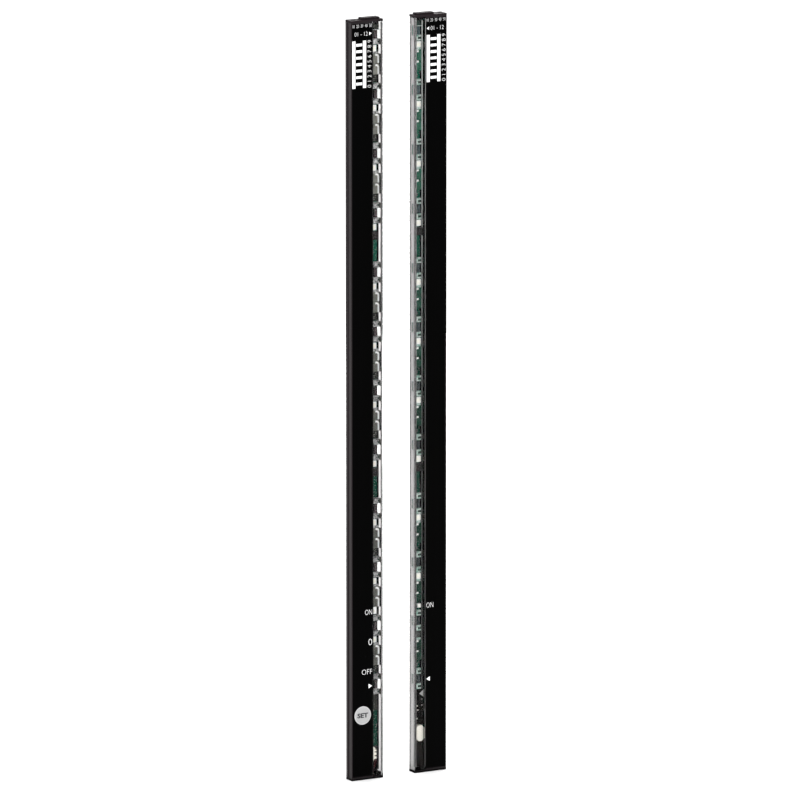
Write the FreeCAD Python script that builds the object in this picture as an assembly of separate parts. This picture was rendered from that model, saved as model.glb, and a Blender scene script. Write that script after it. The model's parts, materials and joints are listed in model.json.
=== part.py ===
import FreeCAD, Part
import math
import os

from FreeCAD import Vector

# A slim light grid for picking bins: a receiver bar and a sender bar that stand face to face.
# Each bar is a black aluminium channel whose window edge is closed by a clear cover. Circuit boards
# inside carry the beam optics, the job lights and the terminal for the cable.
#
# Every bar is drawn in its own section frame: u runs from the closed outer side to the window side,
# v runs from the front face to the back and z runs up. All sizes are in millimetres.

# Bar section
bar_width = 30.0
bar_depth = 10.5
window_width = 10.0
outer_wall = 2.0
front_wall = 1.4
back_wall = 1.4
edge_radius = 0.5
bar_gap = 30.0

# Clip groove along the outer side
groove_width = 3.2
groove_depth = 0.5

# Beam layout, which sets the length of the bar
beam_count = 12
beam_pitch = 50.0
below_first_beam = 78.0
beams_per_board = 4

# Ends of the bar
gasket_thickness = 0.5
gasket_width = 1.2
cap_plate = 1.5
cap_corner_bevel = 0.3
cap_pad_height = 1.6
cap_pad_width = 16.5
cap_pad_depth = 6.5
cap_pad_inset = 2.4
cap_pad_bevel = 0.3
cap_tongue_gap = 0.3
cap_foot_length = 3.0
seat_clearance = 0.1

# Hole for a countersunk screw in each cap, and the channel that the screw cuts into
screw_hole_radius = 1.05
screw_mouth_radius = 1.9
channel_bore_radius = 0.9
channel_ring_radius = 1.9
channel_web = 1.2
channel_inset = 2.3

# Front film
film_thickness = 0.25
film_lip = 0.7
film_margin = 0.9

# Clear window cover
cover_front = 1.5
cover_side = 1.3
cover_tongue_reach = 1.6
cover_tongue_thickness = 0.8
cover_neck = 0.9
cover_lap = 0.6
cover_key_width = 0.7
cover_key_reach = 0.6

# Side diffuser, a milky strip inside the cover's side wall with an opening for each beam
diffuser_thickness = 0.3
diffuser_edge_gap = 0.2
diffuser_opening_height = 9.2
diffuser_opening_width = 3.6

# Circuit boards
board_thickness = 1.0
board_standoff = 0.7
board_edge_gap = 1.1
board_gap = 0.6
board_below_terminal = 2.0
rib_width = 0.9
slot_lip = 0.7
slot_lip_thickness = 0.6

# Board links, one over each gap between two boards
link_drop = 19.0
link_height = 6.4
link_width = 7.0
link_thickness = 3.6

# Beam optics
lens_half_length = 8.8
lens_end_room = 2.2
lens_half_aperture = 4.0
lens_height = 4.0
lens_wall = 1.3
lens_sag = 0.3
lens_front_gap = 0.4
lens_leg_height = 3.4
lens_leg_width = 6.6
lens_leg_bevel = 1.0
detector_height = 7.2
detector_width = 2.9
detector_thickness = 3.5
detector_gap = 0.4
emitter_window = 2.6
emitter_window_rise = 0.25

# Job lights and their light guides
job_light_size = 5.0
job_light_thickness = 1.6
job_light_cup_radius = 1.9
job_light_cup_depth = 0.35
job_light_edge_gap = 1.3
job_light_gap = 0.9
guide_gap = 1.9
guide_bare_board = 7.4
guide_width = 6.6
guide_thickness = 3.0
guide_notch_width = 1.2
guide_notch_depth = 0.7
guide_notch_slant = 35.0
guide_peg = 1.4
guide_peg_clearance = 0.1
guide_peg_tail = 0.3

# Status lights
status_light_height = 3.2
status_light_width = 2.8
status_light_thickness = 1.9
status_light_cup_radius = 1.1
status_light_cup_depth = 0.3
status_light_gap = 2.0
status_light_edge_gap = 3.0
light_cup_sides = 6

# Control chips
chip_size = 5.0
chip_thickness = 1.0
chip_drop = 25.0

# Terminal, its plug and the leads down to the cable inlet
receiver_terminal_bottom = 20.0
sender_terminal_bottom = 33.0
terminal_height = 7.0
terminal_width = 7.0
terminal_thickness = 4.2
terminal_wall = 0.7
terminal_edge_gap = 0.3
plug_entry = 4.5
plug_tail = 6.5
plug_clearance = 0.1
lead_count = 3
lead_diameter = 0.95
lead_sides = 6
lead_pitch = 1.5
lead_steps = 4
lead_end_gap = 0.3

# Cable inlet
inlet_inset = 1.0
inlet_bore_radius = 2.1
grommet_neck_radius = 2.6
grommet_flange_radius = 3.1
grommet_clearance = 0.05

# Teach key, its switch and the plunger between them
key_height = 55.4
key_face_radius = 7.8
key_rim_radius = 8.25
key_rim_thickness = 0.45
key_travel = 0.35
key_side_gap = 0.15
key_film_gap = 0.05
key_floor_gap = 0.1
switch_size = 4.5
switch_height = 2.9
plunger_width = 2.2
plunger_reach = 0.7
plunger_gap = 0.15

# Levels of the section, worked out from the sizes above
film_edge = bar_width - window_width
front_in = film_thickness + front_wall
back_in = bar_depth - back_wall
board_back = back_in - board_standoff
board_front = board_back - board_thickness
cover_inner = bar_width - cover_side
lap_u = bar_width - cover_lap
lap_v = board_back - seat_clearance
cover_key_v0 = (board_back + bar_depth - cover_key_width) / 2
cover_key_v1 = cover_key_v0 + cover_key_width
board_inner_edge = cover_inner - board_edge_gap
channel_v = (front_in + board_front) / 2
channel_u = outer_wall + channel_inset
channel_edge = channel_u + channel_ring_radius
board_outer_edge = outer_wall + seat_clearance
slot_tip_u = outer_wall + slot_lip
closed_chamber_u0 = channel_edge + seat_clearance
closed_chamber_u1 = film_edge - cover_tongue_reach - seat_clearance
window_chamber_u0 = film_edge + cover_neck + 2 * seat_clearance
window_chamber_u1 = board_inner_edge - rib_width - seat_clearance
inlet_u = film_edge + inlet_inset
inlet_v = bar_depth / 2
beam_v = board_front - detector_thickness / 2
key_u = (film_lip + film_edge) / 2
key_back = film_thickness + key_film_gap + key_rim_thickness
optics_edge = cover_inner - lens_front_gap
guide_u = optics_edge - guide_width / 2

# Heights along the bar
profile_bottom = cap_plate + gasket_thickness
foot_top = profile_bottom + cap_foot_length
first_beam_z = profile_bottom + below_first_beam
last_beam_z = first_beam_z + (beam_count - 1) * beam_pitch
lens_top_z = last_beam_z + lens_half_length
profile_top = lens_top_z + lens_end_room
top_plate_z = profile_top + gasket_thickness
top_plate_end = top_plate_z + cap_plate
pad_top = top_plate_end + cap_pad_height
job_light_drop = lens_half_length + job_light_gap + job_light_size / 2
guide_drop = job_light_drop + job_light_size / 2 + guide_gap
guide_length = beam_pitch - lens_half_length - guide_drop - guide_bare_board
status_light_rise = lens_half_length + status_light_gap + status_light_height / 2

# The beams are numbered from the top. A board link takes the place of a light guide.
beam_heights = [last_beam_z - n * beam_pitch for n in range(beam_count)]
link_beams = list(range(beams_per_board - 1, beam_count - 1, beams_per_board))
link_heights = [beam_heights[n] - link_drop for n in link_beams]
job_beams = list(range(beam_count - 1))
guide_beams = [n for n in job_beams if n not in link_beams]
chip_heights = [beam_heights[n] - chip_drop for n in range(1, beam_count, beams_per_board)]


def slab(u0, u1, v0, v1, z0, z1):
    """A block between two corners of the section frame."""
    return Part.makeBox(u1 - u0, v1 - v0, z1 - z0, Vector(u0, v0, z0))


def post(u, v, radius, z0, z1):
    """An upright round post."""
    return Part.makeCylinder(radius, z1 - z0, Vector(u, v, z0), Vector(0, 0, 1))


def stud(u, z, radius, v0, v1):
    """A round stud that runs from front to back."""
    return Part.makeCylinder(radius, v1 - v0, Vector(u, v0, z), Vector(0, 1, 0))


def key_square(width, v0, v1):
    """A square post on the axis of the teach key, from front to back."""
    half = width / 2
    return slab(key_u - half, key_u + half, v0, v1, key_height - half, key_height + half)


def corner_arc(before, here, after, radius):
    """Start, middle and end of the tangent arc that rounds one corner of an outline."""
    back = (before - here).normalize()
    ahead = (after - here).normalize()
    half = back.getAngle(ahead) / 2
    reach = radius / math.tan(half)
    lift = radius / math.sin(half) - radius
    return here + back * reach, here + (back + ahead).normalize() * lift, here + ahead * reach


def extruded(corners, z0, z1):
    """A solid drawn as (u, v, corner radius) points and carried from one height to another."""
    points = [Vector(u, v, z0) for u, v, radius in corners]
    count = len(points)
    arcs = []
    for n in range(count):
        arcs.append(corner_arc(points[n - 1], points[n], points[(n + 1) % count], corners[n][2]))
    edges = []
    for n in range(count):
        start, middle, end = arcs[n]
        edges.append(Part.LineSegment(arcs[n - 1][2], start).toShape())
        if corners[n][2] > 0:
            edges.append(Part.Arc(start, middle, end).toShape())
    return Part.Face(Part.Wire(edges)).extrude(Vector(0, 0, z1 - z0))


def fused(shapes):
    """Several touching solids as one, with no seams left on shared faces."""
    return shapes[0].multiFuse(shapes[1:]).removeSplitter()


def housing(has_key):
    """The extruded channel: outer side, front and back walls, board slot and screw channel."""
    groove_v0 = (bar_depth - groove_width) / 2
    groove_v1 = groove_v0 + groove_width
    edge_u1 = lap_u - seat_clearance
    edge_u0 = board_inner_edge - rib_width
    key_slot_u = edge_u1 - cover_key_reach
    lip_v1 = board_front - seat_clearance
    lip_v0 = lip_v1 - slot_lip_thickness
    section = [
        (0, 0, edge_radius),
        (0, groove_v0, 0),
        (groove_depth, groove_v0, 0),
        (groove_depth, groove_v1, 0),
        (0, groove_v1, 0),
        (0, bar_depth, edge_radius),
        (edge_u1, bar_depth, 0),
        (edge_u1, cover_key_v1 + seat_clearance, 0),
        (key_slot_u, cover_key_v1 + seat_clearance, 0),
        (key_slot_u, cover_key_v0 - seat_clearance, 0),
        (edge_u1, cover_key_v0 - seat_clearance, 0),
        (edge_u1, board_back, 0),
        (edge_u0, board_back, 0),
        (edge_u0, back_in, 0),
        (slot_tip_u, back_in, 0),
        (slot_tip_u, board_back, 0),
        (outer_wall, board_back, 0),
        (outer_wall, lip_v1, 0),
        (slot_tip_u, lip_v1, 0),
        (slot_tip_u, lip_v0, 0),
        (outer_wall, lip_v0, 0),
        (outer_wall, front_in, 0),
        (film_edge, front_in, 0),
        (film_edge, film_thickness, 0),
        (film_lip, film_thickness, 0),
        (film_lip, 0, 0),
    ]
    ends = (profile_bottom, profile_top)
    half_web = channel_web / 2
    body = fused([
        extruded(section, *ends),
        post(channel_u, channel_v, channel_ring_radius, *ends),
        slab(outer_wall / 2, channel_u, channel_v - half_web, channel_v + half_web, *ends),
    ])
    body = body.cut(post(channel_u, channel_v, channel_bore_radius, *ends))
    if has_key:
        pocket_floor = key_back + key_travel + key_floor_gap
        pocket = stud(key_u, key_height, key_rim_radius + key_side_gap, film_thickness, pocket_floor)
        passage = key_square(plunger_width + 2 * plunger_gap, film_thickness, front_in)
        body = body.cut(pocket).cut(passage)
    return body


def front_film(has_key):
    """The printed film that lies flush in the front of the channel, open round the teach key."""
    film = slab(film_lip, film_edge, 0, film_thickness,
                profile_bottom + film_margin, profile_top - film_margin)
    if has_key:
        film = film.cut(stud(key_u, key_height, key_face_radius + key_side_gap, 0, film_thickness))
    return film


def window_cover():
    """The clear angle: a tongue under the front wall and a keyed lap over the edge of the back wall."""
    plate_u = film_edge + seat_clearance
    neck_u = plate_u + cover_neck
    tongue_v0 = front_in + seat_clearance
    tongue_v1 = tongue_v0 + cover_tongue_thickness
    tongue_u = film_edge - cover_tongue_reach
    key_tip_u = lap_u - cover_key_reach
    section = [
        (plate_u, 0, 0),
        (plate_u, tongue_v0, 0),
        (tongue_u, tongue_v0, 0),
        (tongue_u, tongue_v1, 0),
        (neck_u, tongue_v1, 0),
        (neck_u, cover_front, 0),
        (cover_inner, cover_front, 0),
        (cover_inner, lap_v, 0),
        (lap_u, lap_v, 0),
        (lap_u, cover_key_v0, 0),
        (key_tip_u, cover_key_v0, 0),
        (key_tip_u, cover_key_v1, 0),
        (lap_u, cover_key_v1, 0),
        (lap_u, bar_depth, 0),
        (bar_width, bar_depth, edge_radius),
        (bar_width, 0, edge_radius),
    ]
    return extruded(section, profile_bottom, profile_top)


def side_diffuser():
    """The milky strip bonded inside the cover's side wall, open in front of each beam."""
    u0, u1 = cover_inner - diffuser_thickness, cover_inner
    strip = slab(u0, u1, cover_front + diffuser_edge_gap, lap_v - diffuser_edge_gap,
                 foot_top, profile_top - film_margin)
    half_width, half_height = diffuser_opening_width / 2, diffuser_opening_height / 2
    openings = [slab(u0, u1, beam_v - half_width, beam_v + half_width, z - half_height, z + half_height)
                for z in beam_heights]
    return strip.cut(Part.Compound(openings))


def cap_plate_solid(z0):
    """The plate of an end cap, bevelled at its upright corners to follow those of the bar."""
    plate = slab(0, bar_width, 0, bar_depth, z0, z0 + cap_plate)
    upright = [e for e in plate.Edges if e.BoundBox.ZLength > cap_plate / 2]
    return plate.makeChamfer(cap_corner_bevel, upright)


def gasket(z0):
    """A flat seal behind the rounded corners of the bar's end."""
    inset = edge_radius * (1 - math.cos(math.pi / 4))
    hole = inset + gasket_width
    z1 = z0 + gasket_thickness
    ring = slab(inset, bar_width - inset, inset, bar_depth - inset, z0, z1)
    return ring.cut(slab(hole, bar_width - hole, hole, bar_depth - hole, z0, z1))


def screw_cut(surface, inward):
    """The hole and the countersink for a cap screw, from the cap's outer surface inwards."""
    start, along = Vector(channel_u, channel_v, surface), Vector(0, 0, inward)
    hole = Part.makeCylinder(screw_hole_radius, cap_plate, start, along)
    depth = screw_mouth_radius - screw_hole_radius
    sink = Part.makeCone(screw_mouth_radius, screw_hole_radius, depth, start, along)
    return hole.fuse(sink)


def locating_tongue(u0, u1, z0, z1):
    """A tongue of the cap that stands inside the channel between its front and back walls."""
    v0 = front_in + 2 * seat_clearance + cover_tongue_thickness
    v1 = back_in - seat_clearance
    return slab(u0, u1, v0, v1, z0, z1)


def top_cap():
    """The upper end cap: a plate with a raised pad above and two tongues below."""
    plate = cap_plate_solid(top_plate_z)
    pad_u1 = bar_width - cap_pad_inset
    pad_u0 = pad_u1 - cap_pad_width
    pad_v0 = (bar_depth - cap_pad_depth) / 2
    pad_v1 = pad_v0 + cap_pad_depth
    pad = slab(pad_u0, pad_u1, pad_v0, pad_v1, top_plate_end, pad_top)
    rim = [e for e in pad.Edges if e.BoundBox.ZMin > (top_plate_end + pad_top) / 2]
    pad = pad.makeChamfer(cap_pad_bevel, rim)
    tongue_low = lens_top_z + cap_tongue_gap
    body = fused([
        plate,
        pad,
        locating_tongue(closed_chamber_u0, closed_chamber_u1, tongue_low, top_plate_z),
        locating_tongue(window_chamber_u0, window_chamber_u1, tongue_low, top_plate_z),
    ])
    return body.cut(screw_cut(top_plate_end, -1))


def bottom_cap():
    """The lower end cap: a plate with the cable inlet and a foot in the corner of the window cover."""
    plate = cap_plate_solid(0)
    foot = slab(inlet_u + grommet_flange_radius + seat_clearance, cover_inner - seat_clearance,
                cover_front + seat_clearance, lap_v - seat_clearance, cap_plate, foot_top)
    body = fused([plate, foot])
    opening = post(inlet_u, inlet_v, grommet_neck_radius + grommet_clearance, 0, cap_plate)
    return body.cut(opening).cut(screw_cut(0, 1))


def cable_grommet():
    """The rubber bush of the cable inlet, with a flange between the lower cap and the channel."""
    half = [
        (inlet_bore_radius, 0),
        (grommet_neck_radius, 0),
        (grommet_neck_radius, cap_plate),
        (grommet_flange_radius, cap_plate),
        (grommet_flange_radius, profile_bottom),
        (inlet_bore_radius, profile_bottom),
    ]
    points = [Vector(inlet_u + r, inlet_v, z) for r, z in half]
    face = Part.Face(Part.makePolygon(points + points[:1]))
    return face.revolve(Vector(inlet_u, inlet_v, 0), Vector(0, 0, 1), 360)


def board(z0, z1, pegs):
    """One circuit board, with a square hole for the peg of each light guide on it."""
    body = slab(board_outer_edge, board_inner_edge, board_front, board_back, z0, z1)
    half = guide_peg / 2 + guide_peg_clearance
    for z in pegs:
        if z0 < z < z1:
            hole = slab(guide_u - half, guide_u + half, board_front, board_back, z - half, z + half)
            body = body.cut(hole)
    return body


def boards(terminal_bottom):
    """The three boards of a bar from the top down, parted at the board links."""
    pegs = [beam_heights[n] - guide_drop - guide_length / 2 for n in guide_beams]
    tops = [lens_top_z] + [z - board_gap / 2 for z in link_heights]
    bottoms = [z + board_gap / 2 for z in link_heights] + [terminal_bottom - board_below_terminal]
    return [board(low, high, pegs) for low, high in zip(bottoms, tops)]


def board_link(z):
    """The plug and socket pair that carries the wiring over the gap between two boards."""
    u1 = board_inner_edge - board_edge_gap
    return slab(u1 - link_width, u1, board_front - link_thickness, board_front,
                z - link_height / 2, z + link_height / 2)


def lens_leg(z0, z1):
    """One leg of the lens moulding, bevelled round its front face."""
    leg = slab(optics_edge - lens_leg_width, optics_edge, board_front - lens_leg_height, board_front, z0, z1)
    rim = [e for e in leg.Edges if e.BoundBox.YMax < board_front - lens_leg_height / 2]
    return leg.makeChamfer(lens_leg_bevel, rim)


def beam_lens(z):
    """The clear moulding in front of one beam element: a bowed lens between two legs on the board."""
    face_u = optics_edge - lens_sag
    radius = (lens_half_aperture ** 2 + lens_sag ** 2) / (2 * lens_sag)
    v0, v1 = board_front - lens_height, board_front
    low, high = z - lens_half_aperture, z + lens_half_aperture
    middle = Vector(face_u + lens_sag - radius, v0, z)
    bow = Part.makeCylinder(radius, lens_height, middle, Vector(0, 1, 0))
    bow = bow.common(slab(face_u - lens_wall / 2, face_u + lens_sag, v0, v1, low, high))
    wall = slab(face_u - lens_wall, face_u, v0, v1, low, high)
    return fused([
        wall,
        bow,
        lens_leg(z - lens_half_length, low),
        lens_leg(high, z + lens_half_length),
    ])


def beam_element(z, is_emitter):
    """The opto package behind one lens. An emitter has a raised window towards the lens."""
    u1 = optics_edge - lens_sag - lens_wall - detector_gap
    package = slab(u1 - detector_width, u1, board_front - detector_thickness, board_front,
                   z - detector_height / 2, z + detector_height / 2)
    if not is_emitter:
        return package
    reach = emitter_window / 2
    window = slab(u1, u1 + emitter_window_rise, beam_v - reach, beam_v + reach, z - reach, z + reach)
    return fused([package, window])


def cupped_light(u, z, width, height, thickness, cup_radius, cup_depth):
    """A flat light package with a many-sided cup in its front face."""
    front = board_front - thickness
    package = slab(u - width / 2, u + width / 2, front, board_front, z - height / 2, z + height / 2)
    turns = [math.tau * (n + 0.5) / light_cup_sides for n in range(light_cup_sides)]
    rim = [Vector(u + cup_radius * math.cos(t), front, z + cup_radius * math.sin(t)) for t in turns]
    cup = Part.Face(Part.makePolygon(rim + rim[:1])).extrude(Vector(0, cup_depth, 0))
    return package.cut(cup)


def job_light(z):
    """One square job light."""
    u = board_inner_edge - job_light_edge_gap - job_light_size / 2
    return cupped_light(u, z, job_light_size, job_light_size, job_light_thickness,
                        job_light_cup_radius, job_light_cup_depth)


def status_light(z):
    """One small status light."""
    u = board_inner_edge - status_light_edge_gap - status_light_width / 2
    return cupped_light(u, z, status_light_width, status_light_height, status_light_thickness,
                        status_light_cup_radius, status_light_cup_depth)


def light_guide(z_top):
    """The clear bar that spreads a job light: a slanted notch across it and a peg through the board."""
    front = board_front - guide_thickness
    z = z_top - guide_length / 2
    u0, u1 = guide_u - guide_width / 2, guide_u + guide_width / 2
    bar = slab(u0, u1, front, board_front, z_top - guide_length, z_top)
    reach = guide_width
    corners = [
        Vector(-reach, front, guide_notch_width / 2),
        Vector(-reach, front, -guide_notch_width / 2),
        Vector(-reach, front + guide_notch_depth, 0),
    ]
    notch = Part.Face(Part.makePolygon(corners + corners[:1])).extrude(Vector(2 * reach, 0, 0))
    notch.rotate(Vector(0, 0, 0), Vector(0, 1, 0), -guide_notch_slant)
    notch.translate(Vector(guide_u, 0, z))
    half = guide_peg / 2
    peg_end = board_back + guide_peg_tail
    peg = slab(guide_u - half, guide_u + half, board_front, peg_end, z - half, z + half)
    return fused([bar.cut(notch), peg])


def control_chip(z):
    """A controller on the part of the board that the film hides."""
    u = (closed_chamber_u0 + closed_chamber_u1) / 2
    half = chip_size / 2
    return slab(u - half, u + half, board_front - chip_thickness, board_front, z - half, z + half)


def terminal_span():
    """The sides of the terminal across the window."""
    u1 = board_inner_edge - terminal_edge_gap
    return u1 - terminal_width, u1


def plug_box(z0, z1):
    """The body of the plug between two heights."""
    u0, u1 = terminal_span()
    inset = terminal_wall + plug_clearance
    v0, v1 = board_front - terminal_thickness + inset, board_front - inset
    return slab(u0 + inset, u1 - inset, v0, v1, z0, z1)


def terminal_header(terminal_bottom):
    """The shrouded header on the lower board, open downwards for its plug."""
    u0, u1 = terminal_span()
    v0, v1 = board_front - terminal_thickness, board_front
    shroud = slab(u0, u1, v0, v1, terminal_bottom, terminal_bottom + terminal_height)
    inside = slab(u0 + terminal_wall, u1 - terminal_wall, v0 + terminal_wall, v1 - terminal_wall,
                  terminal_bottom, terminal_bottom + plug_entry)
    return shroud.cut(inside)


def terminal_plug(terminal_bottom):
    """The crimp housing in the header, with a wider tail for the fingers."""
    u0, u1 = terminal_span()
    tail = slab(u0, u1, board_front - terminal_thickness, board_front - terminal_wall,
                terminal_bottom - plug_tail, terminal_bottom)
    return fused([plug_box(terminal_bottom, terminal_bottom + plug_entry), tail])


def lead(n, terminal_bottom):
    """One insulated lead of many-sided section, which eases across from the plug to the cable inlet."""
    offset = (n - (lead_count - 1) / 2) * lead_pitch
    u0, u1 = terminal_span()
    plug_v = board_front - (terminal_thickness + terminal_wall) / 2
    start = Vector((u0 + u1) / 2 + offset, plug_v, terminal_bottom - plug_tail)
    end = Vector(inlet_u + offset, inlet_v, profile_bottom + lead_end_gap)
    points = []
    for k in range(lead_steps + 1):
        fall = k / lead_steps
        across = fall * fall * (3 - 2 * fall)
        points.append(Vector(
            start.x + (end.x - start.x) * across,
            start.y + (end.y - start.y) * across,
            start.z + (end.z - start.z) * fall,
        ))
    turns = [math.tau * k / lead_sides for k in range(lead_sides)]
    spoke = lead_diameter / 2
    rim = [start + Vector(spoke * math.cos(t), spoke * math.sin(t), 0) for t in turns]
    mitred = 1
    return Part.makePolygon(points).makePipeShell([Part.makePolygon(rim + rim[:1])], True, False, mitred)


def teach_key():
    """The round key: a face flush with the film and a rim that the film holds back."""
    rim_v0 = film_thickness + key_film_gap
    return fused([
        stud(key_u, key_height, key_face_radius, 0, rim_v0),
        stud(key_u, key_height, key_rim_radius, rim_v0, key_back),
    ])


def teach_plunger():
    """The square plunger between the back of the key and the inside of the switch."""
    tip = board_front - switch_height + plunger_reach
    return key_square(plunger_width, key_back, tip)


def teach_switch():
    """The switch body on the lower board, with a well for its plunger."""
    top = board_front - switch_height
    well_floor = top + plunger_reach + key_travel + plunger_gap
    body = key_square(switch_size, top, board_front)
    return body.cut(key_square(plunger_width + 2 * plunger_gap, top, well_floor))


def bar_pieces(is_sender):
    """Every piece of one bar in its section frame, by name."""
    terminal_bottom = sender_terminal_bottom if is_sender else receiver_terminal_bottom
    upper, middle, lower = boards(terminal_bottom)
    status_beams = beam_heights[-2:-1] if is_sender else beam_heights[-2:]
    pieces = {
        "housing": housing(not is_sender),
        "front_film": front_film(not is_sender),
        "window_cover": window_cover(),
        "side_diffuser": side_diffuser(),
        "top_cap": top_cap(),
        "bottom_cap": bottom_cap(),
        "top_gasket": gasket(profile_top),
        "bottom_gasket": gasket(cap_plate),
        "cable_grommet": cable_grommet(),
        "upper_board": upper,
        "middle_board": middle,
        "lower_board": lower,
        "board_links": Part.Compound([board_link(z) for z in link_heights]),
        "beam_lenses": Part.Compound([beam_lens(z) for z in beam_heights]),
        "job_lights": Part.Compound([job_light(beam_heights[n] - job_light_drop) for n in job_beams]),
        "light_guides": Part.Compound([light_guide(beam_heights[n] - guide_drop) for n in guide_beams]),
        "status_lights": Part.Compound([status_light(z + status_light_rise) for z in status_beams]),
        "control_chips": Part.Compound([control_chip(z) for z in chip_heights]),
        "terminal_header": terminal_header(terminal_bottom),
        "terminal_plug": terminal_plug(terminal_bottom),
        "leads": Part.Compound([lead(n, terminal_bottom) for n in range(lead_count)]),
    }
    elements = "emitters" if is_sender else "photodiodes"
    pieces[elements] = Part.Compound([beam_element(z, is_sender) for z in beam_heights])
    if not is_sender:
        pieces["teach_key"] = teach_key()
        pieces["teach_plunger"] = teach_plunger()
        pieces["teach_switch"] = teach_switch()
    return pieces


def placed(shape, is_sender):
    """A piece moved from the section frame to where its bar stands. The sender is the mirror image."""
    shape = shape.translated(Vector(-bar_gap / 2 - bar_width, -bar_depth / 2, 0))
    return shape.mirror(Vector(0, 0, 0), Vector(1, 0, 0)) if is_sender else shape


os.makedirs("parts", exist_ok=True)
for bar, is_sender in (("receiver", False), ("sender", True)):
    for piece, shape in bar_pieces(is_sender).items():
        placed(shape, is_sender).exportStep(f"parts/{bar}_{piece}.step")
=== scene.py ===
import json
import math

import bpy
import numpy as np
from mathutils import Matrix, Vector

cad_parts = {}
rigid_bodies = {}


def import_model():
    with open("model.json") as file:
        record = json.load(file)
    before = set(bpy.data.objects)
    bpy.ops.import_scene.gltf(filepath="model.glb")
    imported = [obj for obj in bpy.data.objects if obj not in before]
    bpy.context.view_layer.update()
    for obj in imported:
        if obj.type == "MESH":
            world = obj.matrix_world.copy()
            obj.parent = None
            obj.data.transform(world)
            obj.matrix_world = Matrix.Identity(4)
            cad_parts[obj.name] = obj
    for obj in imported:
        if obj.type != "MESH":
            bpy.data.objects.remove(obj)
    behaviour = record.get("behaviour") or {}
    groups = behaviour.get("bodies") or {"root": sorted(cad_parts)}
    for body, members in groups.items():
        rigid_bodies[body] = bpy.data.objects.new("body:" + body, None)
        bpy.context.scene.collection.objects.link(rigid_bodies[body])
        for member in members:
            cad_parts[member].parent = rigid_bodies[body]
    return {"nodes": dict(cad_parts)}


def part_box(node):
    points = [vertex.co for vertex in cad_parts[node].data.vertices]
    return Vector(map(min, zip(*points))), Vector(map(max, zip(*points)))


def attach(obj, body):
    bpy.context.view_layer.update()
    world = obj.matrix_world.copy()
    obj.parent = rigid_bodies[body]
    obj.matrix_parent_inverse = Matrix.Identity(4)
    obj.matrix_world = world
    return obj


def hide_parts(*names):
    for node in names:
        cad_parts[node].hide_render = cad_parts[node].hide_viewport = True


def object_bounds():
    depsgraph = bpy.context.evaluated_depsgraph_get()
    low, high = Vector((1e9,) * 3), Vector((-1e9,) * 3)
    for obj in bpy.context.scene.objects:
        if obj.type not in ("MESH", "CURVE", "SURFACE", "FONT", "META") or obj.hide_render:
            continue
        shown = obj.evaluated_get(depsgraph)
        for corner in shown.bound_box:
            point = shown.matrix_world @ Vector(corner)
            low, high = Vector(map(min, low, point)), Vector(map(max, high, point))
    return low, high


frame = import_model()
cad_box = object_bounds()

# Bar channels
# Two extruded aluminium channels, one for the receiver and one for the sender, anodised black.
# They carry all the rest: boards slide into them, and films, covers and caps close them.

BARS = ("receiver", "sender")
DRAW_LINE_WIDTH = 0.4
DRAW_LINE_LENGTH = 80.0
# Levels of the noise at which a grain reaches its two shades.
TONE_STOPS = (0.3, 0.7)
# Heights between which painted shade deepens a colour towards the lower end, where the light falls off.
SHADE_FALLOFF_HEIGHTS = (300.0, 600.0)


def linear(hex_colour):
    """An sRGB hex colour as linear red, green, blue and alpha."""
    shown = np.array([int(hex_colour[n:n + 2], 16) for n in (1, 3, 5)]) / 255
    light = np.where(shown <= 0.04045, shown / 12.92, ((shown + 0.055) / 1.055) ** 2.4)
    return (*light.tolist(), 1.0)


def new_material(name):
    """An empty node material."""
    material = bpy.data.materials.new(name)
    material.use_nodes = True
    material.node_tree.nodes.clear()
    return material


def add_node(material, kind, inputs, **settings):
    """Adds a node. An input is a number, a colour or the socket that feeds it; settings are properties."""
    node = material.node_tree.nodes.new(kind)
    for name, value in settings.items():
        setattr(node, name, value)
    for name, value in inputs.items():
        if isinstance(value, bpy.types.NodeSocket):
            material.node_tree.links.new(value, node.inputs[name])
        else:
            node.inputs[name].default_value = value
    return node


def painted_falloff(material, coords, colour, foot):
    """A colour that falls in a straight line from itself at the upper fade height to the foot's share of it
    at the lower one: painted shade, as the light falls off towards the lower ends of the bars and they look
    deeper in colour."""
    axes = add_node(material, "ShaderNodeSeparateXYZ", {"Vector": coords.outputs["Object"]})
    level = add_node(material, "ShaderNodeMapRange", {
        "Value": axes.outputs["Z"], "From Min": SHADE_FALLOFF_HEIGHTS[0] / 1000, "From Max": SHADE_FALLOFF_HEIGHTS[1] / 1000,
        "To Min": foot, "To Max": 1.0})
    shaded = add_node(material, "ShaderNodeMix", {0: 1.0, 6: colour, 7: level.outputs[0]},
                      data_type="RGBA", blend_type="MULTIPLY")
    return shaded.outputs[2]


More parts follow.
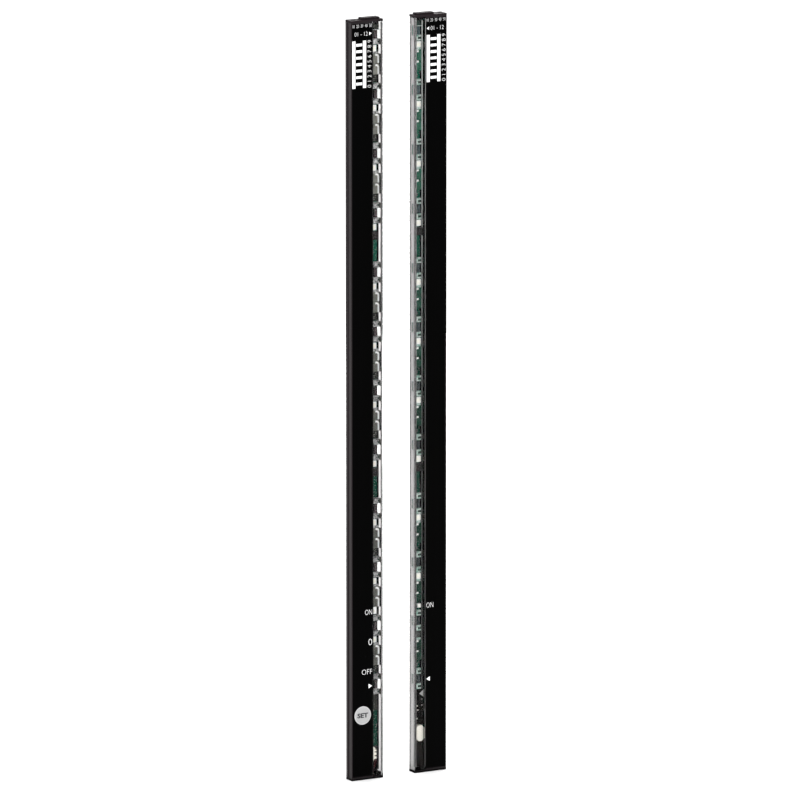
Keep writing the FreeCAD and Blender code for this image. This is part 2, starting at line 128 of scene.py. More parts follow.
def grained(name, shades, grain, relief, foot=1.0, **shading):
    """A material whose colour wavers between two shades with noise of the grain's size in millimetres, one
    size for all directions or one for each of x, y and z. The relief, also in millimetres, lifts the surface
    with the same noise. A foot under one darkens the colour towards the lower end as painted shade. The rest
    goes straight to the shader's sockets."""
    material = new_material(name)
    coords = add_node(material, "ShaderNodeTexCoord", {})
    spread = add_node(material, "ShaderNodeMapping", {
        "Vector": coords.outputs["Object"], "Scale": (1000 / np.broadcast_to(grain, 3)).tolist()})
    noise = add_node(material, "ShaderNodeTexNoise", {
        "Vector": spread.outputs[0], "Scale": 1.0, "Detail": 3.0})
    tone = add_node(material, "ShaderNodeValToRGB", {"Fac": noise.outputs["Fac"]})
    for stop, place, shade in zip(tone.color_ramp.elements, TONE_STOPS, shades):
        stop.position = place
        stop.color = linear(shade)
    colour = painted_falloff(material, coords, tone.outputs[0], foot) if foot < 1 else tone.outputs[0]
    bump = add_node(material, "ShaderNodeBump", {"Height": noise.outputs["Fac"], "Distance": relief / 1000})
    shader = add_node(material, "ShaderNodeBsdfPrincipled", {
        "Base Color": colour, "Normal": bump.outputs[0],
        **{socket.replace("_", " "): value for socket, value in shading.items()}})
    add_node(material, "ShaderNodeOutputMaterial", {"Surface": shader.outputs[0]})
    return material


def dress(material, *nodes):
    """Puts a material on CAD nodes."""
    for name in nodes:
        mesh = frame["nodes"][name].data
        mesh.materials.clear()
        mesh.materials.append(material)


# Black anodised aluminium: a satin, faintly brownish grey. The press leaves draw lines along the length. They
# are drawn coarser than the real ones so that they show.
anodised = grained("black_anodised_aluminium", ("#181315", "#241e20"),
                   grain=(DRAW_LINE_WIDTH, DRAW_LINE_WIDTH, DRAW_LINE_LENGTH), relief=0.006,
                   Roughness=0.5, Specular_IOR_Level=0.09)
dress(anodised, "receiver_housing", "sender_housing")

# End caps, seals and cap screws
# Moulded plastic caps close both ends of a bar on thin rubber seals, and a rubber bush lines the cable inlet.
# One countersunk steel screw holds each cap. It is turned, blackened and driven into the screw channel.

CAP_PLATE = 1.5
SCREW_U = 4.3
SCREW_V = 4.525
SCREW_HEAD = 1.8
SCREW_RIM = 0.06
SCREW_SHANK = 0.9
SCREW_TIP = 0.63
SCREW_TIP_LENGTH = 0.5
SCREW_LENGTH = 6.0
SCREW_SUNK = 0.08
SCREW_POINTS = 48
SOCKET_RADIUS = 0.8
LOBE_COUNT = 6
LOBE_RISE = 0.14
SOCKET_DEPTH = 0.6
SOCKET_TAPER = 0.92
# The receiver stands left of the middle, the sender right.
SIDES = {"receiver": -1, "sender": 1}
SHARP_ANGLE = math.radians(35.0)

# Glass-filled plastic with the fine grain of an eroded mould: nearly black, with hardly any gloss. Painted
# shade darkens it towards the lower end, so the top caps look lighter than the bottom ones.
cap_plastic = grained("cap_plastic", ("#1c1719", "#2a2426"), grain=0.35, relief=0.02, foot=0.15,
                      Roughness=0.55, Specular_IOR_Level=0.01)
# Moulded rubber: black and matt.
seal_rubber = grained("seal_rubber", ("#0c0c0c", "#1b1b1b"), grain=0.2, relief=0.015,
                      Roughness=0.8, Specular_IOR_Level=0.2)
# Blackened steel: a dark grey metal with a soft sheen.
screw_steel = grained("blackened_steel", ("#3a3836", "#5a5754"), grain=(0.08, 0.08, 0.5), relief=0.002,
                      Metallic=1.0, Roughness=0.35, Specular_Tint=linear("#262626"))


def stand(bar, points):
    """Points (u, v, z) in millimetres of a bar's own section, as metres where the bar stands. u runs from the
    outer side towards the window, v from the front face to the back; the sender is the mirror image."""
    u, v, z = np.reshape(points, (-1, 3)).T
    return np.column_stack([SIDES[bar] * (cad_box[1].x - u / 1000), cad_box[0].y + v / 1000, z / 1000])


def add_piece(name, bar, points, faces, material, slot, body="light_bars"):
    """A mesh piece of one bar that rides on a body. Edges over the sharp angle stay crisp."""
    if bar == "sender":
        faces = [face[::-1] for face in faces]
    mesh = bpy.data.meshes.new(name)
    mesh.from_pydata(stand(bar, points).tolist(), [], faces)
    mesh.polygons.foreach_set("use_smooth", [True] * len(mesh.polygons))
    mesh.set_sharp_from_angle(angle=SHARP_ANGLE)
    mesh.materials.append(material)
    piece = bpy.data.objects.new(name, mesh)
    bpy.context.scene.collection.objects.link(piece)
    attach(piece, body)
    return piece


def lofted(rings):
    """Closed solid through rings of points: quads from ring to ring, and a flat face at both ends."""
    count = len(rings[0])
    start = np.arange(count)
    ahead = np.roll(start, -1)
    band = np.column_stack([start, ahead, ahead + count, start + count])
    sides = np.concatenate([band + count * n for n in range(len(rings) - 1)])
    top = start + count * (len(rings) - 1)
    return np.concatenate(rings), [start[::-1].tolist(), *sides.tolist(), top.tolist()]


def gathered(solids):
    """Several (points, faces) solids as one."""
    points, faces, start = [], [], 0
    for some_points, some_faces in solids:
        points.append(some_points)
        faces.extend([start + n for n in face] for face in some_faces)
        start += len(some_points)
    return np.concatenate(points), faces


def cap_screw(surface, outward):
    """A countersunk screw whose head lies just under the cap's surface: tapered tip, shank, cone, rim, then a
    six-lobe socket whose radius wavers as the cosine of six times the angle."""
    turn = np.linspace(0, math.tau, SCREW_POINTS, endpoint=False)
    lobed = SOCKET_RADIUS + LOBE_RISE * np.cos(LOBE_COUNT * turn)
    top = -SCREW_SUNK
    sections = [(SCREW_TIP, -SCREW_LENGTH), (SCREW_SHANK, SCREW_TIP_LENGTH - SCREW_LENGTH),
                (SCREW_SHANK, top - (SCREW_HEAD - SCREW_SHANK)), (SCREW_HEAD, top - SCREW_RIM),
                (SCREW_HEAD - SCREW_RIM, top), (lobed, top), (lobed * SOCKET_TAPER, top - SOCKET_DEPTH)]
    rings = [np.column_stack([SCREW_U + radius * np.cos(turn),
                              SCREW_V + outward * radius * np.sin(turn),
                              np.full(SCREW_POINTS, surface + outward * height)])
             for radius, height in sections]
    return lofted(rings)


for bar in BARS:
    dress(cap_plastic, f"{bar}_top_cap", f"{bar}_bottom_cap")
    dress(seal_rubber, f"{bar}_top_gasket", f"{bar}_bottom_gasket", f"{bar}_cable_grommet")
    top_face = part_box(f"{bar}_top_gasket")[1].z * 1000 + CAP_PLATE
    add_piece(f"{bar}_cap_screws", bar, *gathered([cap_screw(top_face, 1), cap_screw(0, -1)]),
              screw_steel, "screw_steel")

# Front films
# A black polyester film is glued flush into the front of each channel. Its white marks are screen printed:
# triangles at the first and last beam, legends, numbers and a ladder.

FILM_EDGE_U = 20.0
INK_RISE = 0.02
FIRST_BEAM = 630.0
LAST_BEAM = 80.0
STATUS_ON = LAST_BEAM + 62.4
STATUS_OFF = LAST_BEAM + 12.4
MARK_MARGIN = 0.8
FIRST_MARK = FIRST_BEAM + 1.6
# A pointer has its reach and its height.
FIRST_POINTER = (2.3, 2.9)
LAST_POINTER = (3.3, 3.9)
# A legend has its two distances from the film's window edge, then its lower and upper height.
LEGENDS = {
    "01 - 12": (4.6, 16.8, FIRST_MARK - 1.7, FIRST_MARK + 1.7),
    "10  20  30  40  50": (MARK_MARGIN, 18.6, FIRST_BEAM + 7.0, FIRST_BEAM + 9.6),
    "ON": (MARK_MARGIN, 7.4, STATUS_ON - 1.3, STATUS_ON + 3.0),
}
RECEIVER_LEGENDS = {
    "0": (MARK_MARGIN, 4.2, LAST_BEAM + 35.0, LAST_BEAM + 40.4),
    "OFF": (MARK_MARGIN, 10.4, STATUS_OFF - 2.15, STATUS_OFF + 2.15),
}
LADDER_FAR = 19.0
LADDER_HEIGHTS = (FIRST_BEAM - 43.5, FIRST_BEAM - 4.0)
POST_PLACES = (0.0, 10.0)
POST_WIDTH = 3.0
RUNG_SIDES = (3.6, 9.4)
RUNG_COUNT = 7
RUNG_START = 2.6
RUNG_PITCH = 5.4
RUNG_HEIGHT = 2.2
DIGIT_SIDES = (14.4, 17.8)

# Polyester film with a fine matt grain: deep black, with hardly any gloss.
film_black = grained("printed_film", ("#010101", "#030303"), grain=0.15, relief=0.004,
                     Roughness=0.3, Specular_IOR_Level=0.01)
# White screen ink: matt and even.
film_white = grained("white_ink", ("#ececec", "#f8f8f8"), grain=0.3, relief=0.003,
                     Roughness=0.6, Specular_IOR_Level=0.2)
dress(film_black, "receiver_front_film", "sender_front_film")


def film_x(bar, *reaches):
    """The x of places at these distances from a film's window edge, from left to right."""
    return sorted(SIDES[bar] * (cad_box[1].x * 1000 - FILM_EDGE_U + reach) for reach in reaches)


def flat_mark(outline):
    """One printed shape from its (x, z) outline in millimetres, drawn anticlockwise."""
    return np.array(outline, float), [list(range(len(outline)))]


def bar_mark(x0, x1, z0, z1):
    """A printed upright rectangle."""
    return flat_mark([(x0, z0), (x1, z0), (x1, z1), (x0, z1)])


def pointer(bar, z, reach, height):
    """A printed triangle that points at the window."""
    tip, base = sorted(film_x(bar, MARK_MARGIN, MARK_MARGIN + reach), key=abs)
    rise = SIDES[bar] * height / 2
    return flat_mark([(base, z - rise), (base, z + rise), (tip, z)])


def letters(words, x0, x1, z0, z1, quarter_turn=False, weight=-0.02):
    """Printed words stretched into a rectangle, or first turned a quarter anticlockwise. The weight is added
    to the strokes' outline, as a share of the letter height."""
    curve = bpy.data.curves.new("words", "FONT")
    curve.body = words
    curve.offset = weight
    curve.resolution_u = 3
    holder = bpy.data.objects.new("words", curve)
    mesh = bpy.data.meshes.new_from_object(holder)
    points = np.empty(3 * len(mesh.vertices))
    mesh.vertices.foreach_get("co", points)
    points = points.reshape(-1, 3)[:, :2]
    faces = [list(polygon.vertices) for polygon in mesh.polygons]
    for spent, store in ((holder, bpy.data.objects), (curve, bpy.data.curves), (mesh, bpy.data.meshes)):
        store.remove(spent)
    if quarter_turn:
        points = np.column_stack([-points[:, 1], points[:, 0]])
    low, high = points.min(axis=0), points.max(axis=0)
    return (points - low) / (high - low) * (x1 - x0, z1 - z0) + (x0, z0), faces


def printed(name, bar, marks, v, material, slot, body="light_bars"):
    """Flat marks in the (x, z) plane, laid on a front face at depth v. x runs to the right from the middle of
    the whole pair on both bars, so the sender's faces are turned once more than those of other pieces."""
    points, faces = gathered(marks)
    u = cad_box[1].x * 1000 - SIDES[bar] * points[:, 0]
    if bar == "sender":
        faces = [face[::-1] for face in faces]
    laid = np.column_stack([u, np.full(len(u), v), points[:, 1]])
    add_piece(name, bar, laid, faces, material, slot, body)


for bar in BARS:
    legends = LEGENDS | RECEIVER_LEGENDS if bar == "receiver" else LEGENDS
    marks = [pointer(bar, FIRST_MARK, *FIRST_POINTER), pointer(bar, LAST_BEAM, *LAST_POINTER)]
    marks += [letters(words, *film_x(bar, near, far), low, high)
              for words, (near, far, low, high) in legends.items()]
    left = film_x(bar, MARK_MARGIN, LADDER_FAR)[0]
    marks += [bar_mark(left + place, left + place + POST_WIDTH, *LADDER_HEIGHTS) for place in POST_PLACES]
    for n in range(RUNG_COUNT):
        rung = LADDER_HEIGHTS[0] + RUNG_START + n * RUNG_PITCH
        marks.append(bar_mark(left + RUNG_SIDES[0], left + RUNG_SIDES[1], rung, rung + RUNG_HEIGHT))
    marks.append(letters("0 1 2 3 4 5 6 7 8 9", left + DIGIT_SIDES[0], left + DIGIT_SIDES[1], *LADDER_HEIGHTS,
                         quarter_turn=True))
    printed(f"{bar}_film_print", bar, marks, -INK_RISE, film_white, "printed_film")

# Window covers
# A clear acrylic angle, extruded and slid onto each channel along its window edge. A thin bead of sealant
# fills its front joint. In the sender a light grey line in the inner corner of the angle is a painted
# highlight.

COVER_ENDS = (5.0, 640.1)
SEAL_SIDES = (20.02, 20.3)
SEAL_DEPTH = (0.02, 1.6)
CORNER_HIGHLIGHT_SIDES = (27.95, 28.25)
CORNER_HIGHLIGHT_DEPTH = (1.62, 1.7)
SEALANT_SHADES = {"receiver": ("#424242", "#505050"), "sender": ("#9c9c9c", "#aeaeae")}

# Clear acrylic: glossy, and very slightly wavy along its length from the extruder.
cover_clear = grained("clear_cover", ("#fbfcfb", "#ffffff"), grain=(3.0, 3.0, 120.0), relief=0.01,
                      Roughness=0.02, Transmission_Weight=1.0, IOR=1.49, Specular_Tint=linear("#404040"))
dress(cover_clear, "receiver_window_cover", "sender_window_cover")
# Silicone sealant: satin and light grey, with the receiver's copy darkened to dark grey as painted shade.
# Painted shade also darkens both towards the lower end.
sealants = {
    bar: grained(f"{bar}_sealant", SEALANT_SHADES[bar], grain=(0.3, 0.3, 3.0), relief=0.01, foot=0.3,
                 Roughness=0.5, Specular_IOR_Level=0.3)
    for bar in BARS
}


def block(u0, u1, v0, v1, z0, z1):
    """A plain block between two corners."""
    rings = [np.array([(u0, v0, z), (u1, v0, z), (u1, v1, z), (u0, v1, z)]) for z in (z0, z1)]
    return lofted(rings)


for bar in BARS:
    seal = block(*SEAL_SIDES, *SEAL_DEPTH, *COVER_ENDS)
    add_piece(f"{bar}_edge_seal", bar, *seal, sealants[bar], "seal_rubber")
# Painted highlight: a light grey line in the inner corner of the sender's cover.
corner_highlight = block(*CORNER_HIGHLIGHT_SIDES, *CORNER_HIGHLIGHT_DEPTH, *COVER_ENDS)
add_piece("sender_corner_highlight", "sender", *corner_highlight, sealants["sender"], "seal_rubber")

# Side diffusers
# A milky polyester strip is laminated inside each cover's side wall and punched out at every beam. Black
# painted shade runs along its front edge, sheets of painted shade hide what lies behind it, and smoky painted
# shade fills the sender's openings.

BEAM_PITCH = 50.0
BEAM_HEIGHTS = np.arange(FIRST_BEAM, LAST_BEAM - 1, -BEAM_PITCH)
LINK_BEAMS = (3, 7)
GUIDE_BEAMS = np.delete(BEAM_HEIGHTS[:-1], LINK_BEAMS)
OPENING_HALF = 4.6
DIFFUSER_FACES = (28.4, 28.68)
DIFFUSER_EDGES = (1.7, 3.85, 7.45, 8.1)
STRIP_SHADES = {"receiver": ("#e6dcdc", "#f2e9e8"), "sender": ("#bfb8ba", "#d6d1d4")}
STRIP_SHADE_FEET = {"receiver": 1.0, "sender": 0.78}
STRIP_END_SIDES = (28.62, 28.68)
STRIP_END_FOOT = 2.05
SHADE_SHEET_SIDES = (28.33, 28.38)
SHADE_SHEET_DEPTH = (5.8, 8.0)
SHADE_SHEET_END = 1.0
LEG_ROWS = (4.0, 8.8)
GUIDE_ROWS = (16.6, 33.8)
SHADE_BORDER_DEPTHS = {"receiver": (1.6, 2.2), "sender": (1.6, 3.3)}
SHADE_BORDER_SIDES = (28.683, 28.693)

# Milky polyester: a satin white that light soaks into. The sender's copy is a little greyer as painted shade,
# and darkens towards the lower end as painted shade.
diffuser_films = {
    bar: grained(f"{bar}_milky_film", STRIP_SHADES[bar], grain=(0.4, 0.4, 6.0), relief=0.004,
                 foot=STRIP_SHADE_FEET[bar], Roughness=0.5, Specular_IOR_Level=0.1, Subsurface_Weight=1.0,
                 Subsurface_Radius=(1.0, 1.0, 1.0), Subsurface_Scale=0.003)
    for bar in BARS
}
# Painted shade in black and in grey, as thin sheets: matt and even. The black one also colours the optics
# rail and the lead bed.
black_foil_and_shade = grained("black_foil_and_painted_shade", ("#050505", "#0b0b0b"), grain=0.5, relief=0.004,
                     Roughness=0.6, Specular_IOR_Level=0.05)
grey_shade_sheet = grained("grey_painted_shade", ("#5c5a55", "#6a6863"), grain=0.5, relief=0.004,
                    Roughness=0.6, Specular_IOR_Level=0.05)
# Painted shade in the sender's beam openings: smoky and nearly black, with a soft gloss.
smoky_shade_film = grained("smoky_painted_shade", ("#1c1a1d", "#262428"), grain=0.5, relief=0.004,
                       Roughness=0.3, Specular_IOR_Level=0.1)
guide_shade_materials = {"receiver": black_foil_and_shade, "sender": grey_shade_sheet}


def punched_strip():
    """A thin upright strip as a grid of cells, three across and two for each beam, without the opened cells.
    Every cell has both faces, and a wall where its neighbour is missing."""
    heights = np.sort(np.concatenate([COVER_ENDS, BEAM_HEIGHTS - OPENING_HALF, BEAM_HEIGHTS + OPENING_HALF]))
    rows, columns = len(heights) - 1, len(DIFFUSER_EDGES) - 1
    u, z, v = np.meshgrid(DIFFUSER_FACES, heights, DIFFUSER_EDGES, indexing="ij")
    layer = (rows + 1) * (columns + 1)
    solid = np.ones((rows, columns), bool)
    solid[1::2, 1] = False
    around = np.pad(solid, 1)
    faces = []
    for row, column in np.argwhere(solid).tolist():
        low = row * (columns + 1) + column
        high = low + columns + 1
        cell = [low, low + 1, high + 1, high]
        faces += [cell[::-1], [layer + n for n in cell]]
        beside = ((row, column + 1), (row + 1, column + 2), (row + 2, column + 1), (row + 1, column))
        for k, neighbour in enumerate(beside):
            if not around[neighbour]:
                start, end = cell[k], cell[(k + 1) % 4]
                faces.append([start, end, layer + end, layer + start])
    return np.column_stack([u.ravel(), v.ravel(), z.ravel()]), faces


def shade_sheets(rows, v0, v1):
    """Sheets of painted shade behind a strip, one for each pair of lower and upper heights."""
    return gathered([block(*SHADE_SHEET_SIDES, v0, v1, low, high) for low, high in rows])


shade_sheet_rows = list(zip([*(BEAM_HEIGHTS + OPENING_HALF), COVER_ENDS[0] + SHADE_SHEET_END],
                     [COVER_ENDS[1], *(BEAM_HEIGHTS - OPENING_HALF)]))
upper_legs = np.add.outer(BEAM_HEIGHTS[1:], LEG_ROWS)
lower_legs = np.subtract.outer(BEAM_HEIGHTS, LEG_ROWS[::-1])
guide_rows = np.subtract.outer(GUIDE_BEAMS, GUIDE_ROWS[::-1])
opening_rows = np.add.outer(BEAM_HEIGHTS, (-OPENING_HALF, OPENING_HALF))
for bar in BARS:
    strip = add_piece(f"{bar}_diffuser_strip", bar, *punched_strip(), diffuser_films[bar], "milky_film")
    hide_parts(f"{bar}_side_diffuser")
    # Painted shade behind the strip: black between the openings, grey or black over the legs and guides.
    add_piece(f"{bar}_diffuser_shade_sheet", bar, *shade_sheets(shade_sheet_rows, *SHADE_SHEET_DEPTH), black_foil_and_shade, "milky_film")
    leg_shade_sheets = shade_sheets([*upper_legs, *lower_legs], DIFFUSER_EDGES[0], SHADE_SHEET_DEPTH[0])
    add_piece(f"{bar}_leg_shade_sheets", bar, *leg_shade_sheets, grey_shade_sheet, "milky_film")
    guide_shade_sheets = shade_sheets(guide_rows, DIFFUSER_EDGES[0], SHADE_SHEET_DEPTH[0])
    add_piece(f"{bar}_guide_shade_sheets", bar, *guide_shade_sheets, guide_shade_materials[bar], "milky_film")
    # Black painted shade along the strip's front edge, on both of its faces.
    shade_borders = [block(*sides, *SHADE_BORDER_DEPTHS[bar], *COVER_ENDS) for sides in (SHADE_SHEET_SIDES, SHADE_BORDER_SIDES)]
    add_piece(f"{bar}_diffuser_shade_border", bar, *gathered(shade_borders), black_foil_and_shade, "milky_film")
# Smoky painted shade in the sender's beam openings.
beam_opening_shades = shade_sheets(opening_rows, DIFFUSER_EDGES[1], SHADE_SHEET_DEPTH[0])
add_piece("sender_beam_opening_shades", "sender", *beam_opening_shades, smoky_shade_film, "milky_film")
strip_end = block(*STRIP_END_SIDES, DIFFUSER_EDGES[0], DIFFUSER_EDGES[-1], STRIP_END_FOOT, COVER_ENDS[0])
add_piece("sender_strip_end", "sender", *strip_end, diffuser_films["sender"], "milky_film")

# Circuit boards
# Three glass-fibre boards lie end to end in each bar, with soldered chip parts and a rail along the optics.
# Black painted shade lies along the film, grey painted shade on the receiver's bare stretches and black
# painted shade on the sender's lower board, where a white triangle is a painted glint.

TRACE_PITCH = 1.1
TRACE_WIDTH = 0.22
TRACE_RUN = 46.0
TRACE_RISE = 0.03
VIA_PITCH = 2.6
VIA_RADIUS = 0.22
BOARD_SHADE_FOOT = 0.35
BOARD_FRONT = 7.4
SHADE_LAYER_RISE = 0.05
SHADE_LAYER = (BOARD_FRONT - SHADE_LAYER_RISE, BOARD_FRONT)
COVER_SHADE_SIDES = (16.0, 20.5)
RAIL_SIDES = (21.0, 21.8)
RAIL_ENDS = (71.0, 638.0)
RAIL_FRONT = 4.5
RAIL_LINE = 0.2
BARE_ROWS = (34.2, 40.8)
LOWER_SHADE_PATCH = (57.0, 71.0)
SENDER_SHADE_HEIGHTS = (39.4, 71.0)
SHADE_EDGE = DIFFUSER_FACES[0] - 0.2
SOLDER_DOTS = ((19.7, 61.4), (19.7, 56.3), (24.3, 56.0), (23.7, 52.4), (24.6, 45.1))
DOT_SIZE = (1.5, 1.2)
DOT_RISE = 0.35
DOT_BEVEL = 0.2
# Corners of a painted glint on the sender's lower board.
GLINT_TRIANGLE = ((22.3, 66.4), (17.8, 69.9), (17.8, 62.9))
# A chip part has its place across the board, its rise from the middle of the bare stretch and its thickness.
CHIP_PARTS = ((22.6, 1.2, 0.45), (24.6, -0.8, 0.8), (26.3, 0.9, 0.45))
PART_LENGTH = 1.6
PART_WIDTH = 0.8
PART_END = 0.3
PART_INSET = 0.03
BOX_POINTS = 8
BOX_BEVEL = 0.08

# Solder mask over copper: satin green, lighter and raised along the traces, with bright tinned vias.
# Painted shade darkens it towards the lower end.
board_green = new_material("circuit_board")
coords = add_node(board_green, "ShaderNodeTexCoord", {})
axes = add_node(board_green, "ShaderNodeSeparateXYZ", {"Vector": coords.outputs["Object"]})
plane = add_node(board_green, "ShaderNodeCombineXYZ", {
    "X": axes.outputs["Z"], "Y": axes.outputs["X"], "Z": 0.0})
traces = add_node(board_green, "ShaderNodeTexBrick", {
    "Vector": plane.outputs[0], "Color1": linear("#0c6650"), "Color2": linear("#0f705a"),
    "Mortar": linear("#22866c"), "Scale": 1.0, "Mortar Size": TRACE_WIDTH / 1000, "Mortar Smooth": 0.1,
    "Brick Width": TRACE_RUN / 1000, "Row Height": TRACE_PITCH / 1000}, offset=0.37)
vias = add_node(board_green, "ShaderNodeTexVoronoi", {
    "Vector": plane.outputs[0], "Scale": 1000 / VIA_PITCH, "Randomness": 0.9}, voronoi_dimensions="2D")
is_via = add_node(board_green, "ShaderNodeMath", {
    0: vias.outputs["Distance"], 1: VIA_RADIUS / VIA_PITCH}, operation="LESS_THAN")
mask = add_node(board_green, "ShaderNodeMix", {
    0: is_via.outputs[0], 6: painted_falloff(board_green, coords, traces.outputs["Color"], BOARD_SHADE_FOOT),
    7: linear("#b9bdb4")}, data_type="RGBA")
relief = add_node(board_green, "ShaderNodeBump", {
    "Height": traces.outputs["Fac"], "Distance": TRACE_RISE / 1000})
shader = add_node(board_green, "ShaderNodeBsdfPrincipled", {
    "Base Color": mask.outputs[2], "Normal": relief.outputs[0],
    "Roughness": 0.35, "Specular IOR Level": 0.15})
add_node(board_green, "ShaderNodeOutputMaterial", {"Surface": shader.outputs[0]})
# Glazed ceramic of the chip parts: dark grey with a soft gloss.
chip_dark = grained("chip_part_body", ("#151515", "#232323"), grain=0.2, relief=0.004,
                    Roughness=0.4, Specular_IOR_Level=0.4)
# Tin of ends and solder: a bright, uneven metal.
tinned = grained("tinned_end", ("#b4b4b2", "#d8d8d6"), grain=0.15, relief=0.01, Metallic=1.0, Roughness=0.3)
# White paint on the rail: satin and even, with painted shade deepening it towards the lower end.
rail_white = grained("white_rail", ("#eef2f0", "#fafcfb"), grain=(0.3, 0.3, 2.0), relief=0.01, foot=0.15,
                     Roughness=0.5, Specular_IOR_Level=0.3)
# Grey painted shade: satin, slightly blotched.
grey_shade_patch = grained("grey_painted_shade_patch", ("#3a3c37", "#494b46"), grain=0.8, relief=0.006,
                     Roughness=0.5, Specular_IOR_Level=0.1)


def at_depth(outline, v, u=0.0, z=0.0):
    """A (u, z) outline as points at one depth, moved by u and z."""
    return np.column_stack([u + outline[:, 0], np.full(len(outline), v), z + outline[:, 1]])


def flat_body(outline, v_back, v_front):
    """A flat body from its (u, z) outline, between two depths."""
    return lofted([at_depth(np.array(outline), v) for v in (v_back, v_front)])


def rounded_box(u, z, width, height, v_back, v_front, bevel=BOX_BEVEL):
    """A small block on the board with a bevel round its front face: rings at the back, below the bevel and in
    front. A ring is a circle whose directions are stretched to a square, with corners on the diagonals."""
    turn = np.linspace(0, math.tau, BOX_POINTS, endpoint=False)
    square = np.column_stack([np.cos(turn), np.sin(turn)])
    square /= np.abs(square).max(axis=1, keepdims=True)
    half = np.array([width, height]) / 2
    sections = ((half, v_back), (half, v_front + bevel), (half - bevel, v_front))
    return lofted([at_depth(square * reach, v, u, z) for reach, v in sections])


for bar in BARS:
    dress(board_green, f"{bar}_upper_board", f"{bar}_middle_board", f"{bar}_lower_board")
    bodies, ends = [], []
    for beam in GUIDE_BEAMS:
        for u, rise, thickness in CHIP_PARTS:
            z = beam - sum(BARE_ROWS) / 2 + rise
            front = BOARD_FRONT - thickness
            bodies.append(rounded_box(u, z, PART_WIDTH - 2 * PART_INSET, PART_LENGTH - 2 * PART_END,
                                      BOARD_FRONT, front + PART_INSET))
            ends += [rounded_box(u, z + side * (PART_LENGTH - PART_END) / 2, PART_WIDTH, PART_END,
                                 BOARD_FRONT, front) for side in (-1, 1)]
    add_piece(f"{bar}_chip_parts", bar, *gathered(bodies), chip_dark, "chip_epoxy")
    add_piece(f"{bar}_chip_part_ends", bar, *gathered(ends), tinned, "circuit_board")
    # Black painted shade on the board along the film.
    film_side_shade = block(*COVER_SHADE_SIDES, *SHADE_LAYER, *RAIL_ENDS)
    add_piece(f"{bar}_board_shade_sheet", bar, *film_side_shade, black_foil_and_shade, "circuit_board")
    rail = block(*RAIL_SIDES, RAIL_FRONT, BOARD_FRONT, *RAIL_ENDS)
    add_piece(f"{bar}_optics_rail", bar, *rail, black_foil_and_shade, "connector_black")
    line = block(*RAIL_SIDES, RAIL_FRONT - RAIL_LINE, RAIL_FRONT, *RAIL_ENDS)
    add_piece(f"{bar}_rail_line", bar, *line, rail_white, "connector_white")
# Grey painted shade on the receiver's bare stretches and lower end, black on the sender's lower board.
shade_patch_rows = [*np.subtract.outer(GUIDE_BEAMS, BARE_ROWS[::-1]), LOWER_SHADE_PATCH]
shade_patches = [block(RAIL_SIDES[1], SHADE_EDGE, *SHADE_LAYER, low, high) for low, high in shade_patch_rows]
add_piece("receiver_board_shade_patches", "receiver", *gathered(shade_patches), grey_shade_patch, "circuit_board")
lower_shade = block(COVER_SHADE_SIDES[0], SHADE_EDGE, *SHADE_LAYER, *SENDER_SHADE_HEIGHTS)
add_piece("sender_lower_shade", "sender", *lower_shade, black_foil_and_shade, "circuit_board")
dots = [rounded_box(u, z, *DOT_SIZE, BOARD_FRONT, BOARD_FRONT - DOT_RISE, DOT_BEVEL) for u, z in SOLDER_DOTS]
add_piece("sender_solder_dots", "sender", *gathered(dots), tinned, "circuit_board")
# A painted glint: a white triangle on the sender's lower board, in white ink.
glint_triangle = flat_body(GLINT_TRIANGLE, SHADE_LAYER[0], SHADE_LAYER[0] - SHADE_LAYER_RISE)
add_piece("sender_painted_glint", "sender", *glint_triangle, film_white, "circuit_board")

# Board links and control chips
# The links are moulded plug and socket pairs that bridge the gaps between boards. The control chips are
# moulded in epoxy and soldered to the boards.

# Moulded connector plastic: black with a soft gloss.
link_black = grained("connector_black", ("#070707", "#101010"), grain=0.25, relief=0.01,
                     Roughness=0.45, Specular_IOR_Level=0.3)
# Chip epoxy: near black and matt.
chip_epoxy = grained("chip_epoxy", ("#111112", "#1c1c1e"), grain=0.12, relief=0.008,
                     Roughness=0.6, Specular_IOR_Level=0.3)
for bar in BARS:
    dress(link_black, f"{bar}_board_links")
    dress(chip_epoxy, f"{bar}_control_chips")

# Beam optics
# A clear polycarbonate moulding stands over each beam element: a polished bowed lens between two frosted legs
# with a recess in each. The photodiodes and the emitters behind the lenses are moulded in epoxy.

LENS_FOOT = 7.36
LENS_TOP = 3.5
LENS_BACK = 26.7
LENS_FACE = 28.0
LENS_SAG = 0.3
LENS_ARC = 16
LEG_FRONT = 4.0
LEG_MIDDLE = 25.1
LEG_WIDTH = 6.2
LEG_BEVEL = 0.9
# A recess has its place across the board, its width and its height.
RECESSES = {"receiver": (27.1, 1.3, 1.6), "sender": (24.0, 3.0, 2.0)}
RECESS_FRONT = LEG_FRONT - 0.03
RECESS_BEVEL = 0.02
END_RIB = 0.6
END_RIB_BEVEL = 0.1

# Polished polycarbonate: clear, with faint reflections.
lens_clear = grained("clear_lens", ("#f4faf8", "#ffffff"), grain=2.0, relief=0.002,
                     Roughness=0.02, Transmission_Weight=1.0, IOR=1.06, Specular_Tint=linear("#404040"))
# Frosted polycarbonate: mottled by what lies behind it, grey in the receiver and green in the sender. Painted
# shade darkens the receiver's towards the lower end.
leg_frosts = {
    "receiver": grained("receiver_frosted_leg", ("#1c1a1a", "#ffffff"), grain=1.4, relief=0.05, foot=0.6,
                        Roughness=0.5, Specular_IOR_Level=0.3),
    "sender": grained("sender_frosted_leg", ("#5aa58e", "#ffffff"), grain=1.4, relief=0.05,
                      Roughness=0.5, Specular_IOR_Level=0.3),
}
